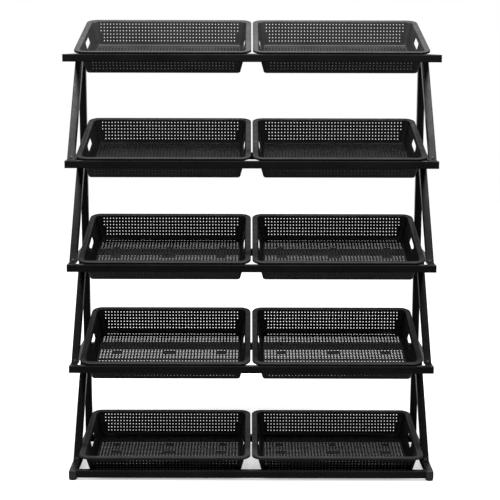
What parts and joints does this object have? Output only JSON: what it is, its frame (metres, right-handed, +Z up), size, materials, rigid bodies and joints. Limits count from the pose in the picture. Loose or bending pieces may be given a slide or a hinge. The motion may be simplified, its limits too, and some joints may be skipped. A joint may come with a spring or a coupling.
{
  "type": "tiered display rack",
  "caption": "Free-standing tiered display rack: black square-tube steel frame with leaning side posts and sloping shelves of shallow perforated plastic baskets that lift out.",
  "frame": {"origin": "on the ground, under the middle of the whole rack's bounding box", "axes": "+Z up, +X to the right as seen from the front, +Y from the front of the rack to its back"},
  "size_m": [1.002, 0.3938, 1.2515],
  "materials": {
    "steel_paint": "semi-gloss black powder coat",
    "basket_plastic": "satin black moulded plastic, finely perforated",
    "trim_plastic": "matte black plastic",
    "screw_steel": "blackened steel"
  },
  "bodies": {
    "rack_frame": {"base_left_tube_cap": "trim_plastic", "base_right_tube_cap": "trim_plastic", "front_left_foot": "trim_plastic", "front_right_foot": "trim_plastic", "rear_left_foot": "trim_plastic", "rear_right_foot": "trim_plastic", "tier_1_front_rail": "steel_paint", "tier_1_left_leaning_post": "steel_paint", "tier_1_left_post_screw": "screw_steel", "tier_1_left_rear_post": "steel_paint", "tier_1_left_side_tube": "steel_paint", "tier_1_rear_rail": "steel_paint", "tier_1_right_leaning_post": "steel_paint", "tier_1_right_post_screw": "screw_steel", "tier_1_right_rear_post": "steel_paint", "tier_1_right_side_tube": "steel_paint", "tier_2_front_rail": "steel_paint", "tier_2_left_leaning_post": "steel_paint", "tier_2_left_post_screw": "screw_steel", "tier_2_left_rear_post": "steel_paint", "tier_2_left_side_angle": "steel_paint", "tier_2_rear_rail": "steel_paint", "tier_2_right_leaning_post": "steel_paint", "tier_2_right_post_screw": "screw_steel", "tier_2_right_rear_post": "steel_paint", "tier_2_right_side_angle": "steel_paint", "tier_3_front_rail": "steel_paint", "tier_3_left_leaning_post": "steel_paint", "tier_3_left_post_screw": "screw_steel", "tier_3_left_rear_post": "steel_paint", "tier_3_left_side_angle": "steel_paint", "tier_3_rear_rail": "steel_paint", "tier_3_right_leaning_post": "steel_paint", "tier_3_right_post_screw": "screw_steel", "tier_3_right_rear_post": "steel_paint", "tier_3_right_side_angle": "steel_paint", "tier_4_front_rail": "steel_paint", "tier_4_left_leaning_post": "steel_paint", "tier_4_left_post_screw": "screw_steel", "tier_4_left_rear_post": "steel_paint", "tier_4_left_side_angle": "steel_paint", "tier_4_rear_rail": "steel_paint", "tier_4_right_leaning_post": "steel_paint", "tier_4_right_post_screw": "screw_steel", "tier_4_right_rear_post": "steel_paint", "tier_4_right_side_angle": "steel_paint", "tier_5_front_rail": "steel_paint", "tier_5_left_side_angle": "steel_paint", "tier_5_rear_rail": "steel_paint", "tier_5_right_side_angle": "steel_paint"},
    "tier_1_left_basket": {"tier_1_left_basket": "basket_plastic"},
    "tier_1_right_basket": {"tier_1_right_basket": "basket_plastic"},
    "tier_2_left_basket": {"tier_2_left_basket": "basket_plastic"},
    "tier_2_right_basket": {"tier_2_right_basket": "basket_plastic"},
    "tier_3_left_basket": {"tier_3_left_basket": "basket_plastic"},
    "tier_3_right_basket": {"tier_3_right_basket": "basket_plastic"},
    "tier_4_left_basket": {"tier_4_left_basket": "basket_plastic"},
    "tier_4_right_basket": {"tier_4_right_basket": "basket_plastic"},
    "tier_5_left_basket": {"tier_5_left_basket": "basket_plastic"},
    "tier_5_right_basket": {"tier_5_right_basket": "basket_plastic"}
  },
  "joints": [
    {"name": "tier_1_left_basket_lift", "type": "slide", "parent": "rack_frame", "child": "tier_1_left_basket", "axis": [0, 0, 1], "range_m": [0, 0.12]},
    {"name": "tier_1_right_basket_lift", "type": "slide", "parent": "rack_frame", "child": "tier_1_right_basket", "axis": [0, 0, 1], "range_m": [0, 0.12]},
    {"name": "tier_2_left_basket_lift", "type": "slide", "parent": "rack_frame", "child": "tier_2_left_basket", "axis": [0, 0, 1], "range_m": [0, 0.12]},
    {"name": "tier_2_right_basket_lift", "type": "slide", "parent": "rack_frame", "child": "tier_2_right_basket", "axis": [0, 0, 1], "range_m": [0, 0.12]},
    {"name": "tier_3_left_basket_lift", "type": "slide", "parent": "rack_frame", "child": "tier_3_left_basket", "axis": [0, 0, 1], "range_m": [0, 0.12]},
    {"name": "tier_3_right_basket_lift", "type": "slide", "parent": "rack_frame", "child": "tier_3_right_basket", "axis": [0, 0, 1], "range_m": [0, 0.12]},
    {"name": "tier_4_left_basket_lift", "type": "slide", "parent": "rack_frame", "child": "tier_4_left_basket", "axis": [0, 0, 1], "range_m": [0, 0.12]},
    {"name": "tier_4_right_basket_lift", "type": "slide", "parent": "rack_frame", "child": "tier_4_right_basket", "axis": [0, 0, 1], "range_m": [0, 0.12]},
    {"name": "tier_5_left_basket_lift", "type": "slide", "parent": "rack_frame", "child": "tier_5_left_basket", "axis": [0, 0, 1], "range_m": [0, 0.12]},
    {"name": "tier_5_right_basket_lift", "type": "slide", "parent": "rack_frame", "child": "tier_5_right_basket", "axis": [0, 0, 1], "range_m": [0, 0.12]}
  ]
}
